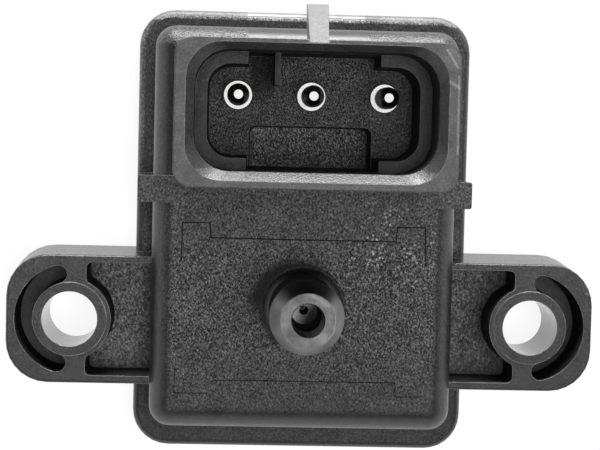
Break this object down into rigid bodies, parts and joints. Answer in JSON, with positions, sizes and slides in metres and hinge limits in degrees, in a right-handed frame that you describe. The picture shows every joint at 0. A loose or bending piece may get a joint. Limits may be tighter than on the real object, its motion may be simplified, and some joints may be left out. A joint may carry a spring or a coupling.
{
  "type": "manifold absolute pressure sensor",
  "caption": "Engine pressure sensor: moulded housing with screw ears, a hose nipple and a keyed shroud round plated terminals, closed by a rear cover over its board.",
  "frame": {"origin": "centre of the flange plate's footprint on the mounting face", "axes": "+X along the two screw holes, +Y from the hose nipple to the connector, +Z out of the front face, the way the hose and plug go on"},
  "size_m": [0.0654, 0.0488, 0.0322],
  "materials": {
    "black_moulding": "matte glass-filled moulding, sparkled front faces, smoother rim and edges",
    "cover_plastic": "matte moulding",
    "tin_plating": "bright tin plating",
    "solder": "satin solder",
    "seal_rubber": "matte rubber",
    "board_laminate": "solder mask over laminate",
    "ceramic": "unglazed",
    "silicon": "polished",
    "clear_gel": "soft clear gel",
    "cap_steel": "satin",
    "chip_epoxy": "moulded epoxy",
    "resistor_film": "glazed film"
  },
  "bodies": {
    "root": {"housing": "black_moulding", "terminal_left": "tin_plating", "terminal_centre": "tin_plating", "terminal_right": "tin_plating", "rear_cover": "cover_plastic", "cover_seal": "seal_rubber", "circuit_board": "board_laminate", "solder_joint_left": "solder", "solder_joint_centre": "solder", "solder_joint_right": "solder", "cell_base": "ceramic", "cell_cap": "cap_steel", "sense_die": "silicon", "cell_gel": "clear_gel", "port_seal": "seal_rubber", "amplifier_chip": "chip_epoxy", "filter_capacitor_left": "ceramic", "filter_capacitor_centre": "ceramic", "filter_capacitor_right": "ceramic", "trim_resistor_1": "resistor_film", "trim_resistor_2": "resistor_film", "trim_resistor_3": "resistor_film", "trim_resistor_4": "resistor_film"}
  },
  "joints": []
}
